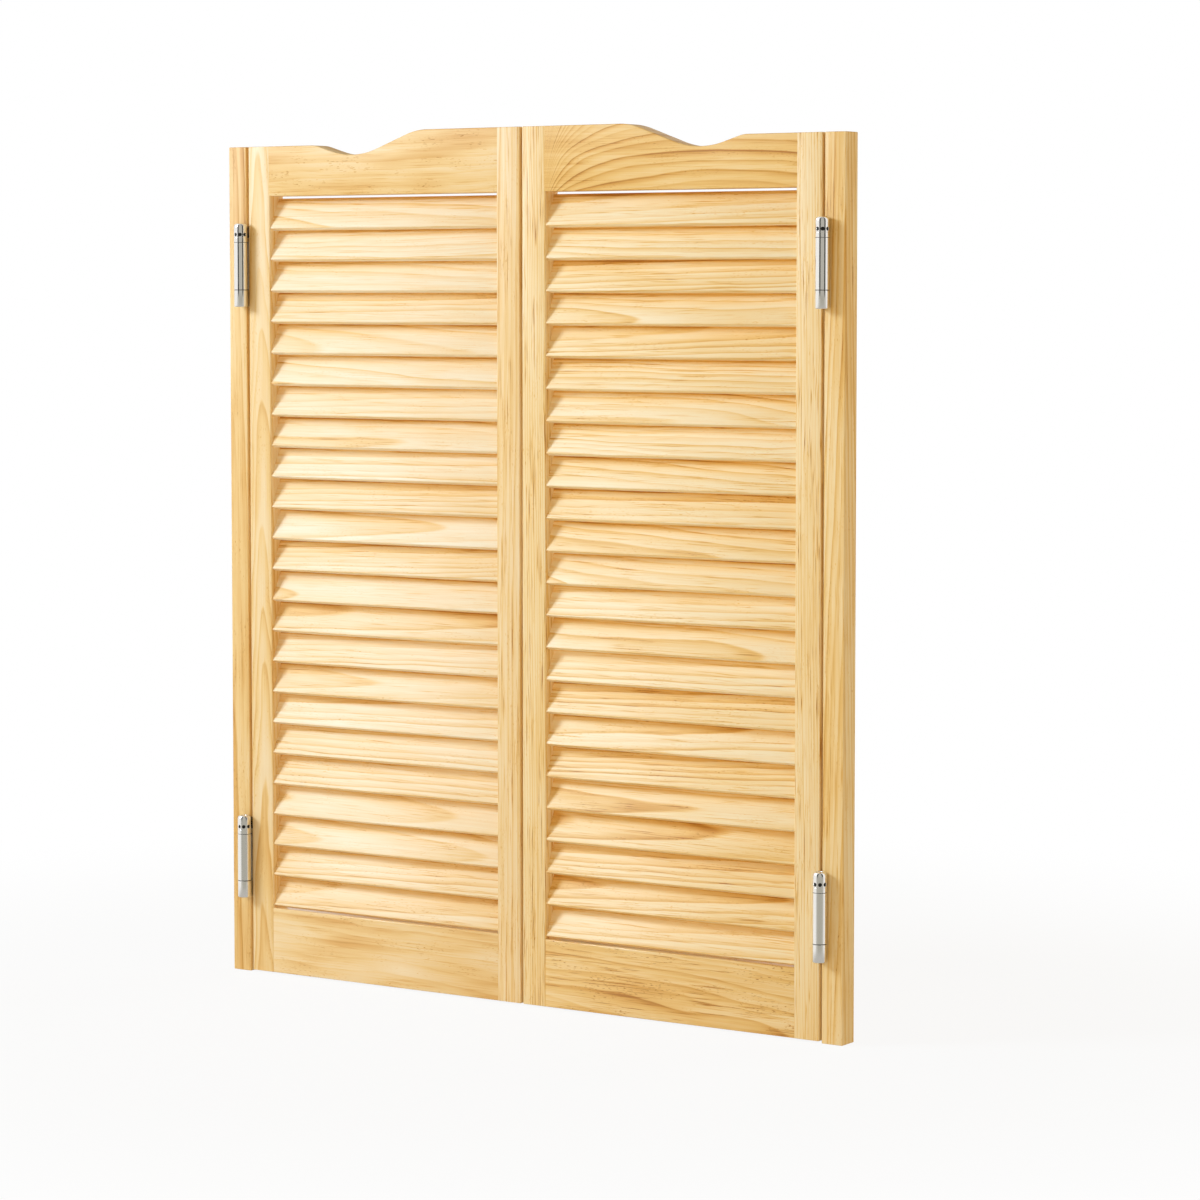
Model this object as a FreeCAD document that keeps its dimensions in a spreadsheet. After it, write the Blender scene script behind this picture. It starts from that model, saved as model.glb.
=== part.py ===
"""Pair of louvred cafe doors between two side posts, hung on double-acting spring hinges.

Millimetres. +X runs along the doors, +Y runs from the front to the back, +Z is up. The origin
is on the floor line, half way between the posts and half way through the thickness.

The left half is drawn. The right door is its mirror image, but with leaf recesses that start
from the front. The right post and hinges are the left ones turned half round, so their jamb
barrels are at the back.
"""
import FreeCAD, Part
import math
import os

import Sketcher

DIMENSIONS = {
    # the whole
    "overall_width": 907.0,
    "frame_depth": 28.0,
    "side_gap": 3.5,
    "meeting_gap": 3.5,
    "arris_radius": 2.0,
    # side posts
    "post_width": 28.0,
    "post_height": 1060.0,
    "fixing_radius": 2.75,
    "fixing_head_radius": 5.25,
    "fixing_inset": 50.0,
    # doors
    "door_bottom": 2.0,
    "hinge_side_top": 1060.0,
    "meeting_side_top": 1076.0,
    "stile_width": 34.25,
    "top_rail_bottom": 997.0,
    "bottom_rail_top": 85.4,
    "tenon_length": 20.0,
    "tenon_thickness": 9.0,
    "tenon_shoulder": 10.0,
    # scalloped edge of the top rail
    "dip_distance": 165.5,
    "dip_depth": 12.8,
    "dip_radius": 110.0,
    "shoulder_radius": 40.0,
    "crest_radius": 90.0,
    "fall_angle": 17.0,
    "rise_angle": 20.0,
    # slats
    "slat_count": 23,
    "slat_pitch": 39.4,
    "slat_width": 42.5,
    "slat_thickness": 7.5,
    "slat_tilt": 27.0,
    "slat_setback": 1.0,
    "slat_housing": 8.0,
    "lowest_slat_edge": 86.4,
    # hinges, each measured up from the foot of its barrels
    "upper_hinge_foot": 856.6,
    "lower_hinge_foot": 97.5,
    "barrel_height": 106.0,
    "barrel_radius": 8.5,
    "barrel_bore": 7.0,
    "barrel_offset": 4.0,
    "barrel_proud": 9.0,
    "lower_knuckle_top": 21.5,
    "sleeve_bottom": 21.9,
    "sleeve_top": 81.9,
    "upper_knuckle_bottom": 82.3,
    "upper_knuckle_top": 88.0,
    "crown_height": 5.0,
    "crown_inset": 4.0,
    "running_clearance": 0.05,
    "journal_depth": 6.0,
    "spring_radius": 6.2,
    "leaf_thickness": 2.0,
    "leaf_bottom": 3.0,
    "leaf_height": 100.0,
    "leaf_depth": 24.0,
    "web_thickness": 1.5,
    "plate_setback": 0.5,
}

doc = FreeCAD.newDocument("cafe_doors")
sheet = doc.addObject("Spreadsheet::Sheet", "Dims")
for row, (alias, number) in enumerate(DIMENSIONS.items(), start=1):
    sheet.set(f"A{row}", alias)
    sheet.set(f"B{row}", str(number))
    sheet.setAlias(f"B{row}", alias)
doc.recompute()

# Sizes that follow from the driving dimensions, as expressions.
DOOR_WIDTH = (
    "(Dims.overall_width - 2 * Dims.post_width - 2 * Dims.side_gap - Dims.meeting_gap) / 2"
)
HALF_DEPTH = "Dims.frame_depth / 2"
OUTER_EDGE = "-Dims.overall_width / 2"
DOOR_EDGE = f"{OUTER_EDGE} + Dims.post_width + Dims.side_gap"
GAP_CENTRE = f"{OUTER_EDGE} + Dims.post_width + Dims.side_gap / 2"
BARREL_DISTANCE = f"({HALF_DEPTH} + Dims.barrel_proud)"


def number(expression):
    """The value of an expression over the sheet."""
    result = sheet.evalExpression(str(expression))
    return float(getattr(result, "Value", result))


# ---------------------------------------------------------------- sketching helpers


def new_body(label):
    """An empty body that may hold several separate solids."""
    body = doc.addObject("PartDesign::Body", label)
    body.Label = label
    body.AllowCompound = True
    return body


def origin_feature(body, role):
    """One of the body's own origin planes or axes."""
    for feature in body.Origin.OriginFeatures:
        if feature.Role == role:
            return feature
    raise ValueError(role)


def new_sketch(body, name, role, offset=("0", "0", "0"), turn_axis=None, turn="0"):
    """A sketch on an origin plane, shifted and turned by expressions."""
    sketch = body.newObject("Sketcher::SketchObject", name)
    sketch.AttachmentSupport = (origin_feature(body, role), [""])
    sketch.MapMode = "FlatFace"
    if turn_axis:
        rotation = FreeCAD.Rotation(FreeCAD.Vector(*turn_axis), number(turn))
        sketch.AttachmentOffset = FreeCAD.Placement(FreeCAD.Vector(), rotation)
        sketch.setExpression("AttachmentOffset.Rotation.Angle", turn)
    for letter, expression in zip("xyz", offset):
        if expression != "0":
            sketch.setExpression(f"AttachmentOffset.Base.{letter}", expression)
    return sketch


def bind(sketch, kind, references, name, expression):
    """A dimension of the sketch, driven by an expression."""
    index = sketch.addConstraint(Sketcher.Constraint(kind, *references, number(expression)))
    sketch.renameConstraint(index, name)
    sketch.setExpression(f"Constraints.{name}", str(expression))


def arc_between(start, end, radius):
    """Short arc from start to end. A positive radius bulges to the left of the way."""
    chord = end - start
    sagitta = abs(radius) - math.sqrt(radius**2 - (chord.Length / 2) ** 2)
    left = FreeCAD.Vector(-chord.y, chord.x, 0).normalize()
    middle = (start + end) / 2 + left * math.copysign(sagitta, radius)
    return Part.Arc(start, middle, end)


def draw_outline(sketch, points, arcs=None, tag=""):
    """Closed outline through points. A side listed in arcs is an arc of that radius."""
    arcs = arcs or {}
    corners = [FreeCAD.Vector(number(across), number(along), 0) for across, along in points]
    sides = []
    for side, start in enumerate(corners):
        end = corners[(side + 1) % len(corners)]
        if side in arcs:
            curve = arc_between(start, end, number(arcs[side]))
        else:
            curve = Part.LineSegment(start, end)
        index = sketch.addGeometry(curve, False)
        forward = sketch.getPoint(index, 1).distanceToPoint(start) < 1e-6
        sides.append((index, 1 if forward else 2, 2 if forward else 1))
    for side, (index, first, last) in enumerate(sides):
        following, following_first, _ = sides[(side + 1) % len(sides)]
        link = Sketcher.Constraint("Coincident", index, last, following, following_first)
        sketch.addConstraint(link)
        across, along = points[side]
        bind(sketch, "DistanceX", (-1, 1, index, first), f"{tag}across{side}", across)
        bind(sketch, "DistanceY", (-1, 1, index, first), f"{tag}along{side}", along)
        if side in arcs:
            bind(sketch, "Radius", (index,), f"{tag}radius{side}", f"abs({arcs[side]})")


def draw_box(sketch, left, bottom, width, height, tag=""):
    """Rectangle from its lower left corner."""
    right = f"{left} + {width}"
    top = f"{bottom} + {height}"
    draw_outline(sketch, [(left, bottom), (right, bottom), (right, top), (left, top)], tag=tag)


def draw_circle(sketch, across, along, radius, tag=""):
    """Circle about a point."""
    centre = FreeCAD.Vector(number(across), number(along), 0)
    circle = Part.Circle(centre, FreeCAD.Vector(0, 0, 1), number(radius))
    index = sketch.addGeometry(circle, False)
    bind(sketch, "DistanceX", (-1, 1, index, 3), f"{tag}across", across)
    bind(sketch, "DistanceY", (-1, 1, index, 3), f"{tag}along", along)
    bind(sketch, "Radius", (index,), f"{tag}radius", radius)


def pad(body, sketch, length, symmetric=False):
    """Solid that stands on a sketch, or lies half on each side of it."""
    feature = body.newObject("PartDesign::Pad", f"{sketch.Name}_pad")
    feature.Profile = sketch
    if symmetric:
        feature.SideType = "Symmetric"
    feature.setExpression("Length", length)
    sketch.Visibility = False
    return feature


def pocket(body, sketch, length, reverse=False):
    """Cut from a sketch, against its normal, or along it when reversed."""
    doc.recompute()
    volume = body.Shape.Volume
    feature = body.newObject("PartDesign::Pocket", f"{sketch.Name}_pocket")
    feature.Profile = sketch
    feature.Reversed = reverse
    feature.setExpression("Length", length)
    doc.recompute()
    if feature.Shape.Volume > volume - 1e-3:
        raise RuntimeError(f"{feature.Name} cuts nothing")
    return feature


def repeat_upwards(body, original, spacing, count):
    """Copies of a feature at equal steps along +Z."""
    feature = body.newObject("PartDesign::LinearPattern", f"{original.Name}_row")
    feature.Originals = [original]
    feature.Direction = (origin_feature(body, "Z_Axis"), [""])
    feature.setExpression("Length", f"({spacing}) * ({count} - 1)")
    feature.setExpression("Occurrences", f"{count}")
    body.Tip = feature
    return feature


def countersink(body, sketch, radius, head_radius, depth):
    """Countersunk screw holes at the circles of a sketch."""
    doc.recompute()
    volume = body.Shape.Volume
    feature = body.newObject("PartDesign::Hole", f"{sketch.Name}_holes")
    feature.Profile = sketch
    feature.DepthType = "Dimension"
    feature.DrillPoint = "Flat"
    feature.HoleCutType = "Countersink"
    feature.HoleCutCustomValues = True
    feature.HoleCutCountersinkAngle = 90
    feature.setExpression("Depth", depth)
    feature.setExpression("Diameter", f"2 * {radius}")
    feature.setExpression("HoleCutDiameter", f"2 * {head_radius}")
    doc.recompute()
    if feature.Shape.Volume > volume - 1e-3:
        raise RuntimeError(f"{feature.Name} cuts nothing")
    return feature


def round_upright_edges(body, base, chosen=lambda middle: True):
    """Fillet on those upright edges whose middle point passes a test."""
    doc.recompute()
    box = base.Shape.BoundBox
    names = []
    for index, edge in enumerate(base.Shape.Edges, start=1):
        if edge.BoundBox.ZLength > box.ZLength / 2 and chosen(edge.CenterOfMass):
            names.append(f"Edge{index}")
    feature = body.newObject("PartDesign::Fillet", f"{base.Name}_arris")
    feature.Base = (base, names)
    feature.setExpression("Radius", "Dims.arris_radius")
    return feature


def place(piece, across, up="0", turned=False):
    """Position of a piece, by expressions, turned half round where it is on the right."""
    if turned:
        piece.Placement = FreeCAD.Placement(FreeCAD.Vector(), FreeCAD.Rotation(180, 0, 0))
        across = f"-({across})"
    piece.setExpression("Placement.Base.x", across)
    piece.setExpression("Placement.Base.z", up)
    return piece


def mirrored(piece, label):
    """The mirror image of a piece on the other half."""
    image = doc.addObject("Part::Mirroring", label)
    image.Label = label
    image.Source = piece
    image.Normal = FreeCAD.Vector(1, 0, 0)
    return image


# ---------------------------------------------------------------- side posts

HINGE_FEET = ["Dims.lower_hinge_foot", "Dims.upper_hinge_foot"]


def cut_leaf_recesses(body, face, near, inward):
    """A recess for the leaf of each hinge, in the face of a post or stile."""
    recesses = new_sketch(body, f"{body.Name}_recesses", "YZ_Plane", ("0", "0", face))
    for index, foot in enumerate(HINGE_FEET):
        draw_box(recesses, near, f"{foot} + Dims.leaf_bottom", "Dims.leaf_depth",
                 "Dims.leaf_height", tag=f"hinge{index}_")
    return pocket(body, recesses, "Dims.leaf_thickness", reverse=inward)


def build_post(label, turned=False):
    """Square post with leaf recesses in its near corner and countersunk wall fixings."""
    body = new_body(label)
    outline = new_sketch(body, f"{label}_outline", "XY_Plane")
    draw_box(outline, "0", f"-{HALF_DEPTH}", "Dims.post_width", "Dims.frame_depth")
    solid = pad(body, outline, "Dims.post_height")
    round_upright_edges(body, solid)
    cut_leaf_recesses(body, "Dims.post_width", f"-{HALF_DEPTH}", inward=False)
    fixings = new_sketch(body, f"{label}_fixings", "YZ_Plane", ("0", "0", "Dims.post_width"))
    draw_circle(fixings, "0", "Dims.fixing_inset", "Dims.fixing_radius", tag="low_")
    draw_circle(fixings, "0", "Dims.post_height - Dims.fixing_inset", "Dims.fixing_radius",
                tag="high_")
    countersink(body, fixings, "Dims.fixing_radius", "Dims.fixing_head_radius",
                "Dims.post_width")
    return place(body, OUTER_EDGE, turned=turned)


# ---------------------------------------------------------------- doors, drawn from the hinge edge

SLAT_FRONT = f"-{HALF_DEPTH} + Dims.slat_setback"
SLAT_CORNER = "Dims.lowest_slat_edge + Dims.slat_thickness * sin(Dims.slat_tilt)"
SLAT_OPENING = f"({DOOR_WIDTH} - 2 * Dims.stile_width)"


def slat_sketch(body, name, across):
    """Sketch that leans back with the slats, with its origin at the lowest slat's front arris."""
    return new_sketch(body, name, "YZ_Plane", (SLAT_FRONT, SLAT_CORNER, across),
                      turn_axis=(0, 0, 1), turn="-Dims.slat_tilt")


def build_stile(label, near, top, inner, inward):
    """Stile with a row of angled blind slots for the slats and a mortise for each rail."""
    body = new_body(label)
    outline = new_sketch(body, f"{label}_outline", "XY_Plane", ("0", "0", "Dims.door_bottom"))
    draw_box(outline, near, f"-{HALF_DEPTH}", "Dims.stile_width", "Dims.frame_depth")
    solid = pad(body, outline, f"{top} - Dims.door_bottom")
    inner_face = number(inner)
    round_upright_edges(body, solid, lambda middle: abs(middle.x - inner_face) > 1)

    slot = slat_sketch(body, f"{label}_slot", inner)
    draw_box(slot, "0", "0", "Dims.slat_thickness", "Dims.slat_width")
    first = pocket(body, slot, "Dims.slat_housing", reverse=inward)
    repeat_upwards(body, first, "Dims.slat_pitch", "Dims.slat_count")

    mortises = new_sketch(body, f"{label}_mortises", "YZ_Plane", ("0", "0", inner))
    side = "-Dims.tenon_thickness / 2"
    low = "Dims.door_bottom + Dims.tenon_shoulder"
    draw_box(mortises, side, low, "Dims.tenon_thickness",
             f"(Dims.bottom_rail_top - Dims.tenon_shoulder - ({low}))", tag="bottom_")
    high = "Dims.top_rail_bottom + Dims.tenon_shoulder"
    draw_box(mortises, side, high, "Dims.tenon_thickness",
             f"(Dims.hinge_side_top - Dims.tenon_shoulder - ({high}))", tag="top_")
    pocket(body, mortises, "Dims.tenon_length", reverse=inward)
    return place(body, DOOR_EDGE)


def build_hinge_stile(label, leaf_recess_start):
    """Stile with the door leaves let into its outer edge."""
    stile = build_stile(label, "0", "Dims.hinge_side_top", "Dims.stile_width", inward=False)
    cut_leaf_recesses(stile, "0", leaf_recess_start, inward=True)
    return stile


def build_meeting_stile(label):
    """The taller stile, beside the other door."""
    inner = f"({DOOR_WIDTH} - Dims.stile_width)"
    return build_stile(label, inner, "Dims.meeting_side_top", inner, inward=True)


def add_tenons(body, low, high):
    """A tenon on both ends of a rail."""
    tenons = new_sketch(body, f"{body.Name}_tenons", "XZ_Plane")
    draw_box(tenons, "Dims.stile_width - Dims.tenon_length", f"({low})",
             f"({SLAT_OPENING} + 2 * Dims.tenon_length)", f"({high} - ({low}))")
    pad(body, tenons, "Dims.tenon_thickness", symmetric=True)


def build_top_rail(label):
    """Rail whose top edge falls into a dip and rises to the meeting side."""
    body = new_body(label)
    near = "Dims.stile_width"
    far = f"{near} + {SLAT_OPENING}"
    low_top = "Dims.hinge_side_top"
    high_top = "Dims.meeting_side_top"
    dip_height = f"({low_top} - Dims.dip_depth)"
    fall_drop = "(1 - cos(Dims.fall_angle))"
    rise_drop = "(1 - cos(Dims.rise_angle))"

    shoulder_end_height = f"({low_top} - Dims.shoulder_radius * {fall_drop})"
    dip_start_height = f"({dip_height} + Dims.dip_radius * {fall_drop})"
    dip_start = "(Dims.dip_distance - Dims.dip_radius * sin(Dims.fall_angle))"
    shoulder_end = (
        f"({dip_start} - ({shoulder_end_height} - {dip_start_height}) / tan(Dims.fall_angle))"
    )
    shoulder_start = f"({shoulder_end} - Dims.shoulder_radius * sin(Dims.fall_angle))"

    dip_end_height = f"({dip_height} + Dims.dip_radius * {rise_drop})"
    crest_start_height = f"({high_top} - Dims.crest_radius * {rise_drop})"
    dip_end = "(Dims.dip_distance + Dims.dip_radius * sin(Dims.rise_angle))"
    crest_start = (
        f"({dip_end} + ({crest_start_height} - {dip_end_height}) / tan(Dims.rise_angle))"
    )
    crest_end = f"({crest_start} + Dims.crest_radius * sin(Dims.rise_angle))"

    outline = new_sketch(body, "scallop_outline", "XZ_Plane")
    points = [
        (near, "Dims.top_rail_bottom"),
        (far, "Dims.top_rail_bottom"),
        (far, high_top),
        (crest_end, high_top),
        (crest_start, crest_start_height),
        (dip_end, dip_end_height),
        (dip_start, dip_start_height),
        (shoulder_end, shoulder_end_height),
        (shoulder_start, low_top),
        (near, low_top),
    ]
    arcs = {3: "-Dims.crest_radius", 5: "Dims.dip_radius", 7: "-Dims.shoulder_radius"}
    draw_outline(outline, points, arcs)
    pad(body, outline, "Dims.frame_depth", symmetric=True)
    add_tenons(body, "Dims.top_rail_bottom + Dims.tenon_shoulder",
               "Dims.hinge_side_top - Dims.tenon_shoulder")
    return place(body, DOOR_EDGE)


def build_bottom_rail(label):
    """Plain rail under the slats."""
    body = new_body(label)
    outline = new_sketch(body, "bottom_outline", "XZ_Plane")
    draw_box(outline, "Dims.stile_width", "Dims.door_bottom", SLAT_OPENING,
             "(Dims.bottom_rail_top - Dims.door_bottom)")
    pad(body, outline, "Dims.frame_depth", symmetric=True)
    add_tenons(body, "Dims.door_bottom + Dims.tenon_shoulder",
               "Dims.bottom_rail_top - Dims.tenon_shoulder")
    return place(body, DOOR_EDGE)


def build_slats(label):
    """Row of leaning slats, their ends in the slots of the stiles."""
    body = new_body(label)
    section = slat_sketch(body, "slat_section", "(Dims.stile_width - Dims.slat_housing)")
    draw_box(section, "0", "0", "Dims.slat_thickness", "Dims.slat_width")
    slat = pad(body, section, f"{SLAT_OPENING} + 2 * Dims.slat_housing")
    repeat_upwards(body, slat, "Dims.slat_pitch", "Dims.slat_count")
    return place(body, DOOR_EDGE)


# ---------------------------------------------------------------- hinges, drawn from the gap's centre

AXIS = "-Dims.barrel_offset"
BARRELS = {"front": f"-{BARREL_DISTANCE}", "back": BARREL_DISTANCE}
JOURNAL = "(Dims.barrel_bore - Dims.running_clearance)"


def turned_pair(body, name, points):
    """The same solid of revolution about both barrel axes, from radius and height pairs."""
    for barrel, depth in BARRELS.items():
        profile = new_sketch(body, f"{body.Name}_{barrel}_{name}", "XZ_Plane",
                             (AXIS, "0", f"-({depth})"))
        draw_outline(profile, points)
        turned = body.newObject("PartDesign::Revolution", f"{profile.Name}_turned")
        turned.Profile = profile
        turned.ReferenceAxis = (profile, ["V_Axis"])
        turned.Angle = 360


def build_leaf(label, barrel, near, plate_start, neck_start, neck_length):
    """Plate with a long rolled sleeve on its edge."""
    body = new_body(label)
    level = ("0", "0", "Dims.leaf_bottom")
    plate = new_sketch(body, f"{label}_plate", "XY_Plane", level)
    draw_box(plate, near, plate_start, "Dims.leaf_thickness",
             "(Dims.leaf_depth - Dims.plate_setback)")
    pad(body, plate, "Dims.leaf_height")

    level = ("0", "0", "Dims.sleeve_bottom")
    length = "Dims.sleeve_top - Dims.sleeve_bottom"
    neck = new_sketch(body, f"{label}_neck", "XY_Plane", level)
    draw_box(neck, near, neck_start, "Dims.leaf_thickness", neck_length)
    pad(body, neck, length)
    sleeve = new_sketch(body, f"{label}_sleeve", "XY_Plane", level)
    draw_circle(sleeve, AXIS, BARRELS[barrel], "Dims.barrel_radius")
    pad(body, sleeve, length)
    bore = new_sketch(body, f"{label}_bore", "XY_Plane", level)
    draw_circle(bore, AXIS, BARRELS[barrel], "Dims.barrel_bore")
    pocket(body, bore, length, reverse=True)
    return body


def build_jamb_leaf(label):
    """Leaf on the post, with the front barrel's sleeve."""
    near = "(-Dims.side_gap / 2 - Dims.leaf_thickness)"
    start = f"(-{HALF_DEPTH} + Dims.plate_setback)"
    neck_start = f"({BARRELS['front']} + Dims.barrel_bore)"
    return build_leaf(label, "front", near, start, neck_start, f"({start} - {neck_start})")


def build_door_leaf(label):
    """Leaf on the door, with the back barrel's sleeve."""
    near = "(Dims.side_gap / 2)"
    start = f"({HALF_DEPTH} - Dims.leaf_depth)"
    neck_start = f"({HALF_DEPTH} - Dims.plate_setback)"
    neck_length = f"({BARRELS['back']} - {neck_start})"
    return build_leaf(label, "back", near, start, neck_start, neck_length)


def build_web(label):
    """Plate in the gap, with a journalled foot and a top knuckle for both barrels."""
    body = new_body(label)
    plate = new_sketch(body, f"{label}_plate", "YZ_Plane")
    edge = f"({HALF_DEPTH} - Dims.plate_setback)"
    reach = f"({BARREL_DISTANCE} - (Dims.barrel_radius + Dims.barrel_bore) / 2 + 1.2)"
    back_half = [
        (reach, "0"), (reach, "Dims.lower_knuckle_top"),
        (edge, "Dims.lower_knuckle_top"), (edge, "Dims.upper_knuckle_bottom"),
        (reach, "Dims.upper_knuckle_bottom"), (reach, "Dims.upper_knuckle_top"),
    ]
    front_half = [(f"-{across}", along) for across, along in reversed(back_half)]
    draw_outline(plate, back_half + front_half)
    pad(body, plate, "Dims.web_thickness", symmetric=True)
    low = "Dims.upper_knuckle_bottom"
    high = "Dims.upper_knuckle_top"
    ring = [("Dims.barrel_bore", low), ("Dims.barrel_radius", low),
            ("Dims.barrel_radius", high), ("Dims.barrel_bore", high)]
    turned_pair(body, "ring", ring)
    shoulder = "Dims.lower_knuckle_top"
    top = "(Dims.sleeve_bottom + Dims.journal_depth)"
    foot = [("0", "0"), ("Dims.barrel_radius", "0"), ("Dims.barrel_radius", shoulder),
            (JOURNAL, shoulder), (JOURNAL, top), ("0", top)]
    turned_pair(body, "foot", foot)
    return body


def build_collars(label):
    """Tension collar of each barrel: a stem in the knuckle and sleeve under a crown."""
    body = new_body(label)
    low = "(Dims.sleeve_top - Dims.journal_depth)"
    shoulder = "Dims.upper_knuckle_top"
    crown = "(Dims.barrel_height - Dims.crown_height)"
    rim = "(Dims.barrel_radius - Dims.crown_inset)"
    collar = [("0", low), (JOURNAL, low), (JOURNAL, shoulder), ("Dims.barrel_radius", shoulder),
              ("Dims.barrel_radius", crown), (rim, "Dims.barrel_height"),
              ("0", "Dims.barrel_height")]
    turned_pair(body, "collar", collar)
    return body


def build_springs(label):
    """Close-wound torsion spring on its rod in each barrel, as one solid of the coil's size."""
    body = new_body(label)
    low = "(Dims.sleeve_bottom + Dims.journal_depth)"
    high = "(Dims.sleeve_top - Dims.journal_depth)"
    coil = [("0", low), ("Dims.spring_radius", low), ("Dims.spring_radius", high), ("0", high)]
    turned_pair(body, "coil", coil)
    return body


def build_hinge(name, foot, turned):
    """One double-acting hinge."""
    pieces = [
        build_jamb_leaf(f"{name}_jamb_leaf"),
        build_door_leaf(f"{name}_door_leaf"),
        build_web(f"{name}_centre_web"),
        build_collars(f"{name}_tension_collars"),
        build_springs(f"{name}_springs"),
    ]
    return [place(piece, GAP_CENTRE, foot, turned) for piece in pieces]


# ---------------------------------------------------------------- assembly

left_door = [
    build_hinge_stile("left_hinge_stile", f"{HALF_DEPTH} - Dims.leaf_depth"),
    build_meeting_stile("left_meeting_stile"),
    build_top_rail("left_top_rail"),
    build_bottom_rail("left_bottom_rail"),
    build_slats("left_slats"),
]
front_hung_stile = build_hinge_stile("front_hung_stile", f"-{HALF_DEPTH}")
right_door = [mirrored(front_hung_stile, "right_hinge_stile")]
for piece in left_door[1:]:
    right_door.append(mirrored(piece, piece.Label.replace("left", "right")))

parts = left_door + right_door
for side, turned in (("left", False), ("right", True)):
    parts.append(build_post(f"{side}_post", turned))
    parts += build_hinge(f"{side}_lower", "Dims.lower_hinge_foot", turned)
    parts += build_hinge(f"{side}_upper", "Dims.upper_hinge_foot", turned)
doc.recompute()

# ---------------------------------------------------------------- checks and export

for item in doc.Objects:
    if "Invalid" in item.State or "Error" in item.State:
        raise RuntimeError(f"{item.Name} failed: {item.State}")
for piece in parts:
    if piece.Shape.isNull() or not piece.Shape.isValid():
        raise RuntimeError(f"{piece.Label} has no valid shape")

os.makedirs("parts", exist_ok=True)
for piece in parts:
    piece.Shape.exportStep(f"parts/{piece.Label}.step")
    print(f"{piece.Label}: {len(piece.Shape.Solids)} solids, {piece.Shape.Volume:.1f} mm3")
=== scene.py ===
"""Louvred cafe doors in clear-finished pine between side posts, on double-acting spring hinges.

Metres. +X runs along the doors, +Y runs from the front to the back, +Z is up.
"""
import math

import bpy
import numpy as np
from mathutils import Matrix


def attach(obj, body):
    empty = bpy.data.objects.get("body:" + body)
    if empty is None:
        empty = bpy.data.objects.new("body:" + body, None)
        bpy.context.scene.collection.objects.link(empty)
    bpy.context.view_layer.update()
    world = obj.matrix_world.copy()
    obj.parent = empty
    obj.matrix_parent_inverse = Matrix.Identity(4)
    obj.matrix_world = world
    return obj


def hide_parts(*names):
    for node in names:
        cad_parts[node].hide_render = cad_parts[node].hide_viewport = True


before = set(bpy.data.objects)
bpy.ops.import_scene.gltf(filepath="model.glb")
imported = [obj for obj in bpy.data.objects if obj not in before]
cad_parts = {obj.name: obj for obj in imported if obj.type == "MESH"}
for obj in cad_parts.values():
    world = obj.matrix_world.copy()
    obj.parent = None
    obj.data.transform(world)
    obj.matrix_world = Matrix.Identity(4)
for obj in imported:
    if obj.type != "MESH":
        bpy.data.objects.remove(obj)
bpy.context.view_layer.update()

MM = 0.001
X, Y, Z = 0, 1, 2

# ---------------------------------------------------------------- sizes, in millimetres
# Shapes are worked out for the left half. Distances along X count from the middle.

POST_OUTER = 453.5
POST_WIDTH = 28.0
POST_HEIGHT = 1060.0
HALF_DEPTH = 14.0
HINGE_EDGE = 422.0
MEETING_EDGE = 1.75
DOOR_FOOT = 2.0
STILE_WIDTH = 34.25
HINGE_SIDE_TOP = 1060.0
MEETING_SIDE_TOP = 1076.0
TOP_RAIL_UNDERSIDE = 997.0
BOTTOM_RAIL_TOP = 85.4
RAIL_OVERLAP = 1.0

SHOULDER_RADIUS = 40.0
DIP_RADIUS = 110.0
CREST_RADIUS = 90.0
FALL_ANGLE = math.radians(17.0)
RISE_ANGLE = math.radians(20.0)
DIP_ACROSS = 165.5
DIP_DROP = 12.8

SLAT_COUNT = 23
SLAT_PITCH = 39.4
SLAT_WIDTH = 42.5
SLAT_THICKNESS = 7.5
SLAT_TILT = math.radians(27.0)
SLAT_SETBACK = 1.0
SLAT_HOUSING = 8.0
LOWEST_SLAT = 86.4

BOARD_ARRIS = 1.4
BOARD_END_ARRIS = 1.0
RAIL_ARRIS = 1.6
SLAT_ARRIS = 0.7
SLAT_END_ARRIS = 0.4
METAL_ARRIS = 0.3
LEAST_ARRIS = 0.05

GAP_CENTRE = 423.75
PIVOT_X = 427.75
PIVOT_Y = 23.0
FRONT_PIVOT = (-PIVOT_X, -PIVOT_Y)
BACK_PIVOT = (-PIVOT_X, PIVOT_Y)
HINGE_FEET = {"lower": 97.5, "upper": 856.6}
BARREL_RADIUS = 8.5
BORE_RADIUS = 7.0
JOURNAL_RADIUS = 6.9
POLE_RADIUS = 0.4

# Levels above the foot of a hinge.
LOWER_KNUCKLE_TOP = 21.4
JOURNAL_TOP = 27.9
SLEEVE = (22.0, 81.9)
NECK = (21.9, 81.9)
LEAF_PLATE = (3.0, 103.0)
WEB_TOP = 88.0
UPPER_KNUCKLE = (82.3, WEB_TOP)
WEB_TABS = ((0.0, 21.5), UPPER_KNUCKLE)
COLLAR_STEM_FOOT = 75.9
COLLAR_FOOT = WEB_TOP
COLLAR_SHOULDER = 101.4
HOLE_LEVEL = 92.0
SLEEVE_GROOVES = ((21.45, 21.95), (81.95, 82.25))
DISH_GROOVE = (103.3, 103.9)

LEAF_THICKNESS = 2.1
HALF_WEB = 0.75
WEB_REACH = 13.5
WEB_TAB_REACH = (13.0, 16.4)

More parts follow.
